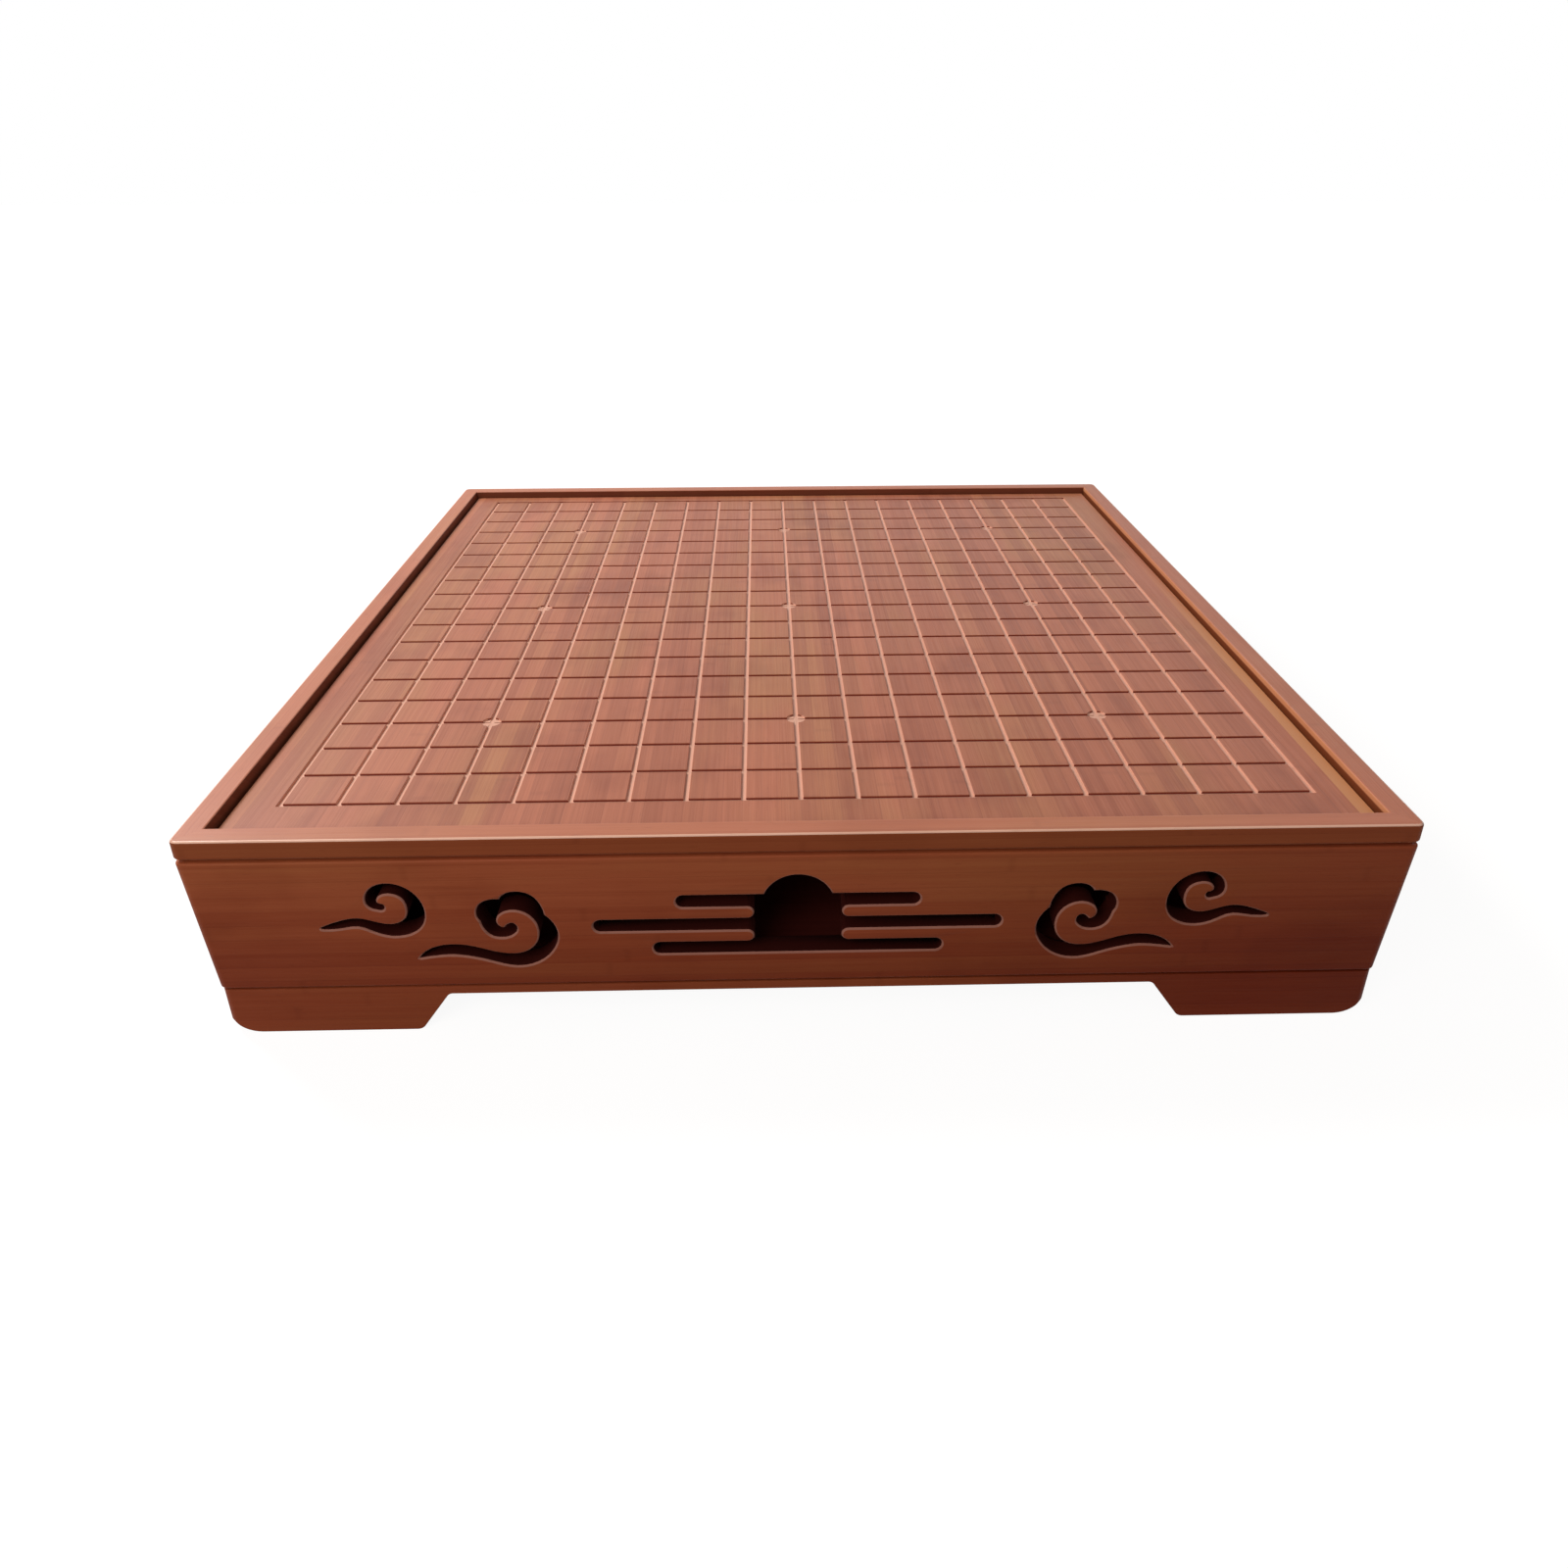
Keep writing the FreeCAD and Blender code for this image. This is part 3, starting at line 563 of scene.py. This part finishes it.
# Where the painted shade low on the face is full, and where it ends
GAP_SHADE_ENDS = 2.3 * MM
GAP_SHADE_COLOUR = (0.150, 0.036, 0.012, 1)
_, panel_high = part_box("playing_panel")
sunlit = bamboo("bamboo_sunlit", ACROSS_Y_PIECE, ALONG_Y, SUNLIT_COLOURS, strip=RIM_STRIP, **MATT)
b = sunlit.b
_, _, height = b.split(sunlit.place)
# Painted shade: the face darkens low in the gap beside the panel
gap_shade = b.remap(height, panel_high.z + GAP_SHADE_FULL, panel_high.z + GAP_SHADE_ENDS, 1.0, 0.0)
b.put(sunlit.shader.inputs["Base Color"], b.mix(gap_shade, sunlit.colour, GAP_SHADE_COLOUR))
finish["sunlit"] = sunlit.material
print("finish:", sunlit.material.name)

# %% [markdown]
# ## Eased edges
#
# No edge on a finished board is knife sharp: sandpaper takes it off, and the strip that is left catches
# the light as a thin bright line. Without it, wood looks like cardboard. Each piece is copied, its
# loose triangles are joined up into whole faces, and the sharp edges are bevelled by a few tenths of a
# millimetre. The copy then stands for the original piece, in the same place.
#
# Two details matter. Mitred ends are glued tight, so their edges stay sharp, or a groove would show at
# every corner. And the shading of the large flat faces must not lean towards the small bevels beside
# them, so the normals are weighted by the size of the faces.

# %% Copy a piece
SAME_POINT = 0.002 * MM
FLAT_WITHIN = 0.3            # degrees


def only(piece):
    """Select this piece and nothing else."""
    bpy.ops.object.select_all(action="DESELECT")
    piece.select_set(True)
    bpy.context.view_layer.objects.active = piece


def merge_points():
    """In edit mode, join the points that lie on each other."""
    bpy.ops.mesh.select_all(action="SELECT")
    bpy.ops.mesh.remove_doubles(threshold=SAME_POINT)


def copy_of(node, whole_faces=True):
    """A merged copy of a piece, with its flat faces made whole unless told otherwise."""
    mesh = frame["nodes"][node].data.copy()
    mesh.materials.clear()
    piece = bpy.data.objects.new(node + "_finished", mesh)
    bpy.context.scene.collection.objects.link(piece)
    only(piece)
    bpy.ops.object.mode_set(mode="EDIT")
    merge_points()
    if whole_faces:
        bpy.ops.mesh.dissolve_limited(angle_limit=math.radians(FLAT_WITHIN))
    bpy.ops.mesh.select_all(action="DESELECT")
    bpy.ops.object.mode_set(mode="OBJECT")
    return piece


print("points closer than", SAME_POINT, "m are joined")

# %% [markdown]
# The bevel takes its edges from a weight on each edge. So the sharp edges are selected first, those of
# the mitres are taken out again, and what is left gets the full weight.

# %% Ease a piece
MITRE_NEAR = 0.03 * MM
SHARP_FROM = 32.0            # degrees
SMOOTH_UP_TO = 30.0          # degrees
BEVEL_STEPS = 2
LARGE_FACES_FIRST = 100      # the most that the modifier takes


def on_mitre(point):
    """True on the upright planes through the board's corners at 45 degrees, where pieces meet."""
    return abs((cad_high.x - abs(point.x)) - (cad_high.y - abs(point.y))) < MITRE_NEAR


def lies_in_mitre(mesh, edge):
    """True for an edge of a mitred end. A long edge from one mitre to the next leaves them midway."""
    start, end = [mesh.vertices[v].co for v in edge.vertices]
    return all(on_mitre(point) for point in (start, (start + end) / 2, end))


def smooth(piece):
    """Shade round parts smooth, with normals that follow the larger faces."""
    only(piece)
    bpy.ops.object.shade_smooth_by_angle(angle=math.radians(SMOOTH_UP_TO))
    even = piece.modifiers.new("even_normals", "WEIGHTED_NORMAL")
    even.keep_sharp = True
    even.weight = LARGE_FACES_FIRST
    bpy.ops.object.modifier_apply(modifier=even.name)


def ease(piece, width):
    """Bevel the sharp edges, except those of the mitres."""
    only(piece)
    bpy.ops.object.mode_set(mode="EDIT")
    bpy.ops.mesh.select_mode(type="EDGE")
    bpy.ops.mesh.edges_select_sharp(sharpness=math.radians(SHARP_FROM))
    bpy.ops.object.mode_set(mode="OBJECT")
    mesh = piece.data
    chosen = [edge.select and not lies_in_mitre(mesh, edge) for edge in mesh.edges]
    weights = mesh.attributes.new("bevel_weight_edge", "FLOAT", "EDGE")
    weights.data.foreach_set("value", [float(flag) for flag in chosen])
    bevel = piece.modifiers.new("eased", "BEVEL")
    bevel.width = width
    bevel.segments = BEVEL_STEPS
    bevel.limit_method = "WEIGHT"
    bevel.miter_outer = "MITER_ARC"
    bpy.ops.object.modifier_apply(modifier=bevel.name)

    # Where two bevels run into each other, points fall together and are joined
    bpy.ops.object.mode_set(mode="EDIT")
    merge_points()
    bpy.ops.object.mode_set(mode="OBJECT")
    smooth(piece)


def settle(piece, node):
    """Let the finished piece stand for the node, on its body."""
    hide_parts(node)
    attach(piece, body_of[node])


print("edges sharper than", SHARP_FROM, "degrees are eased")

# %% [markdown]
# Most pieces have one finish all over. How much an edge is eased follows the hand: the divider, where
# fingers reach for the stones, is rounded most, and the others only lose their sharpness.

# %% Finish the plain pieces
# For each piece its finish, and the width of its bevel in millimetres
EASED = {
    "back_wall": ("wall_x", 0.5), "left_wall": ("wall_y", 0.5), "right_wall": ("wall_y", 0.5),
    "base_front_rail": ("base_x", 0.5), "base_back_rail": ("base_x", 0.5),
    "base_left_rail": ("base_y", 0.5), "base_right_rail": ("base_y", 0.5),
    # The floor, the divider and the pieces under the lid get painted shade
    "floor_panel": ("stained", 0.4), "storage_divider": ("stained", 1.0),
    "lid_front_batten": ("inside_x", 0.6), "lid_back_batten": ("inside_x", 0.6),
    "lid_left_batten": ("inside_y", 0.6), "lid_right_batten": ("inside_y", 0.6),
    "lid_cross_bar_left": ("inside_y", 0.6), "lid_cross_bar_right": ("inside_y", 0.6),
    "base_block_front_left": ("inside_x", 0.5), "base_block_front_right": ("inside_x", 0.5),
    "base_block_back_left": ("inside_x", 0.5), "base_block_back_right": ("inside_x", 0.5),
}
for node, (kind, width) in EASED.items():
    piece = copy_of(node)
    piece.data.materials.append(finish[kind])
    ease(piece, width * MM)
    settle(piece, node)
    print("{:24s} {:6d} faces".format(node, len(piece.data.polygons)))

# %% [markdown]
# The inside of the box is painted nearly black, as painted shade: through the carving the photograph
# shows nearly black wood. So the faces of the walls that look towards the middle get the finish of the
# inside, with its painted shade.

# %% Paint shade on the walls inside
LOOKS_IN = -0.8              # 1 is straight away from the middle and -1 straight towards it


def repaint(piece, slot_index, test):
    """Give the faces that pass the test another of the piece's materials, and count them."""
    count = 0
    for poly in piece.data.polygons:
        if test(poly):
            poly.material_index = slot_index
            count += 1
    return count


def looks_inwards(face):
    """True for the upright faces that look towards the middle of the board."""
    away_x = math.copysign(1, face.center.x) * face.normal.x
    away_y = math.copysign(1, face.center.y) * face.normal.y
    return min(away_x, away_y) < LOOKS_IN


for node, letter in (("back_wall", "x"), ("left_wall", "y"), ("right_wall", "y")):
    piece = bpy.data.objects[node + "_finished"]
    piece.data.materials.append(finish["inside_" + letter])
    print(node, "stained faces:", repaint(piece, 1, looks_inwards))

# %% [markdown]
# ## The lid rim
#
# The rim's top is handled and oiled like the playing panel, while its outer face is as dark and matt as
# the walls. Between them runs the rounded edge, painted pale as a painted highlight that stands for the
# bright reflection along it: in the photograph it is the brightest line on the board. The inner faces get
# painted shade, a dull brown, and only the right rail's inner face gets painted light, a golden lit
# colour.
# So each rail gets four finishes, given to its faces by where they lie and which way they look.

# %% Finish the rim
OUTER_SKIN = 1.3 * MM
HIGHLIGHT_FROM = 0.01             # 0 is level and 1 is upright
UPRIGHT_FROM = 0.5
RIM_EASE = 0.3 * MM


def outwards(face):
    """How far a face on the rim's outer side turns from the level to the upright, or -1 elsewhere."""
    reach = max(abs(face.center.x) - cad_high.x, abs(face.center.y) - cad_high.y)
    return 1 - face.normal.z if reach > -OUTER_SKIN else -1


def on_outer_face(face):
    return outwards(face) > UPRIGHT_FROM


# The rounded edge between the top and the outer face gets the painted highlight
def on_worn_edge(face):
    return HIGHLIGHT_FROM < outwards(face) <= UPRIGHT_FROM


for node, letter in (("lid_front_rail", "x"), ("lid_back_rail", "x"), ("lid_left_rail", "y"),
                     ("lid_right_rail", "y")):
    piece = copy_of(node)
    # Painted shade on the inner faces, and painted light on the right rail's inner face
    inner_look = "sunlit" if node == "lid_right_rail" else "shaded"
    for kind in ("rim_" + letter, "band_" + letter, "worn", inner_look):
        piece.data.materials.append(finish[kind])
    ease(piece, RIM_EASE)
    outer = repaint(piece, 1, on_outer_face)
    worn = repaint(piece, 2, on_worn_edge)
    inner = repaint(piece, 3, looks_inwards)
    settle(piece, node)
    print(node, len(piece.data.polygons), "faces, outer:", outer, "worn:", worn, "inner:", inner)

# %% [markdown]
# ## The playing panel
#
# The nineteen lines each way are saw cuts with slightly eased edges. Inside them the wood was never
# oiled, so it is paler, and the sides of the cuts across the grain are painted dark, as painted shade.
# These parts could be painted face by face, but the panel has thousands of small faces, and one
# rule covers them all: a point is in a cut if it lies a little under the panel's top. So the finish
# mixes in the paler wood by height, and the painted shade by the way the face looks.

# %% Tell the cuts from the top
CUT_FROM = 0.22 * MM         # under the panel's top
CUT_TO = 1.3 * MM
EDGE_KEEP = 6 * MM
ACROSS_FROM = 0.8            # how squarely a face looks along the grain
# Painted shade for the sides of the cuts across the grain
PANEL_CUT_SHADE = (0.19, 0.026, 0.013, 1)

board_top = bamboo("bamboo_panel", ACROSS_PANEL, ALONG_Y, PANEL_COLOURS, strip=PANEL_STRIP,
                   contrast=1.4, gold=0.8, clouds=0.6)
b = board_top.b
x, y, z = b.split(board_top.place)
in_cut = b.math("LESS_THAN", z, panel_high.z - CUT_FROM)
for inside in (b.math("GREATER_THAN", z, panel_high.z - CUT_TO),
               b.math("LESS_THAN", b.math("ABSOLUTE", x), panel_high.x - EDGE_KEEP),
               b.math("LESS_THAN", b.math("ABSOLUTE", y), panel_high.y - EDGE_KEEP)):
    in_cut = b.math("MULTIPLY", in_cut, inside)
normal = b.tree.nodes.new("ShaderNodeNewGeometry").outputs["True Normal"]
_, normal_y, _ = b.split(normal)
across_grain = b.math("GREATER_THAN", b.math("ABSOLUTE", normal_y), ACROSS_FROM)
pale, deep, golden = CUT_COLOURS
bare = b.group(colour_group, Pale=pale, Deep=deep, Golden=golden, Contrast=0.8, Gold=0.3, Clouds=0.0,
               **board_top.grain)
# Painted shade on the sides of the cuts across the grain
in_wood = b.mix(across_grain, bare["Color"], PANEL_CUT_SHADE)
print("cuts lie", CUT_FROM, "to", CUT_TO, "m under the top")

# %% [markdown]
# The panel's outermost strip on the right gets painted light, yellower most of all towards the front,
# where the lit right rail throws light back onto it. It is one more colour, mixed in by place before the
# cuts are.

# %% Finish the playing panel
# Painted light along the panel's right edge, from the lit right rail
BOUNCE_W = 6 * MM
BOUNCE_FRONT = -0.1           # full yellow up to here, in metres from the middle
BOUNCE_BACK = 0.12
BOUNCE_STRENGTH = 0.85
BOUNCE_COLOUR = (0.560, 0.240, 0.095, 1)
# Painted light: a yellower strip along the right edge, fading towards the back
bounce_light = b.math("GREATER_THAN", x, panel_high.x - BOUNCE_W)
bounce_light = b.math("MULTIPLY", bounce_light, b.remap(y, BOUNCE_FRONT, BOUNCE_BACK, BOUNCE_STRENGTH, 0.0))
oiled_top_and_bounce = b.mix(bounce_light, board_top.colour, BOUNCE_COLOUR)
b.put(board_top.shader.inputs["Base Color"], b.mix(in_cut, oiled_top_and_bounce, in_wood))

panel = frame["nodes"]["playing_panel"]
panel.data.materials.clear()
panel.data.materials.append(board_top.material)
print("panel:", len(panel.data.polygons), "faces")

# %% [markdown]
# ## The carved front
#
# The clouds and the rising sun are cut right through the front wall. The cutter leaves a small bevel in
# paler, pinkish wood round every outline, and the sides of the cut are painted almost black, as painted
# shade. No single height tells these parts from the rest of the wall, so each face is picked by its
# place:
# how deep it lies behind the leaning front, and whether it looks forwards or sideways.

# %% Finish the carved front
WALL_LEAN = 2.6              # degrees
ENDS_KEEP = 20 * MM
EDGES_KEEP = 6 * MM
BEVEL_DEEP = 0.72 * MM
FRONT_SKIN = 0.05 * MM
CUT_SKIN = 0.3 * MM
FORWARDS = -0.2              # how far a face's normal points to the back
SIDEWAYS = 0.3
BACKWARDS = 0.7
front_low, front_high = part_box("front_wall")
lean = math.tan(math.radians(WALL_LEAN))


def depth_in_wall(point):
    """How far a point lies behind the leaning front face."""
    return point.y - front_low.y - (front_high.z - point.z) * lean


def in_carving(face):
    """True away from the wall's ends and its upper and lower edges."""
    inside_x = abs(face.center.x) < front_high.x - ENDS_KEEP
    inside_z = front_low.z + EDGES_KEEP < face.center.z < front_high.z - EDGES_KEEP
    return inside_x and inside_z


def is_bevel(face):
    shallow = FRONT_SKIN < depth_in_wall(face.center) < BEVEL_DEEP
    return in_carving(face) and shallow and face.normal.y < FORWARDS


# The sides of the cut, which get painted shade
def is_cut_side(face):
    return in_carving(face) and depth_in_wall(face.center) > CUT_SKIN and abs(face.normal.y) < SIDEWAYS


def is_back(face):
    return face.normal.y > BACKWARDS


front = copy_of("front_wall", whole_faces=False)
for kind in ("wall_x", "bevel", "burnt", "inside_x"):
    front.data.materials.append(finish[kind])
# Painted shade: the sides of the cut are painted almost black
burnt = repaint(front, 2, is_cut_side)
bright = repaint(front, 1, is_bevel)
back_side = repaint(front, 3, is_back)
smooth(front)
settle(front, "front_wall")
print("front:", len(front.data.polygons), "faces, bevel:", bright, "scorched:", burnt, "back:", back_side)

# %% [markdown]
# ## Splines in the mitres
#
# Thin splines are glued across the mitred corners, out of sight. They keep their own shape and only
# need a finish.

# %% Finish the splines
for node in ("wall_splines", "lid_splines"):
    mesh = frame["nodes"][node].data
    mesh.materials.clear()
    # The splines get the painted shade of the inside
    mesh.materials.append(finish["inside_y"])
print("splines finished")

# %% [markdown]
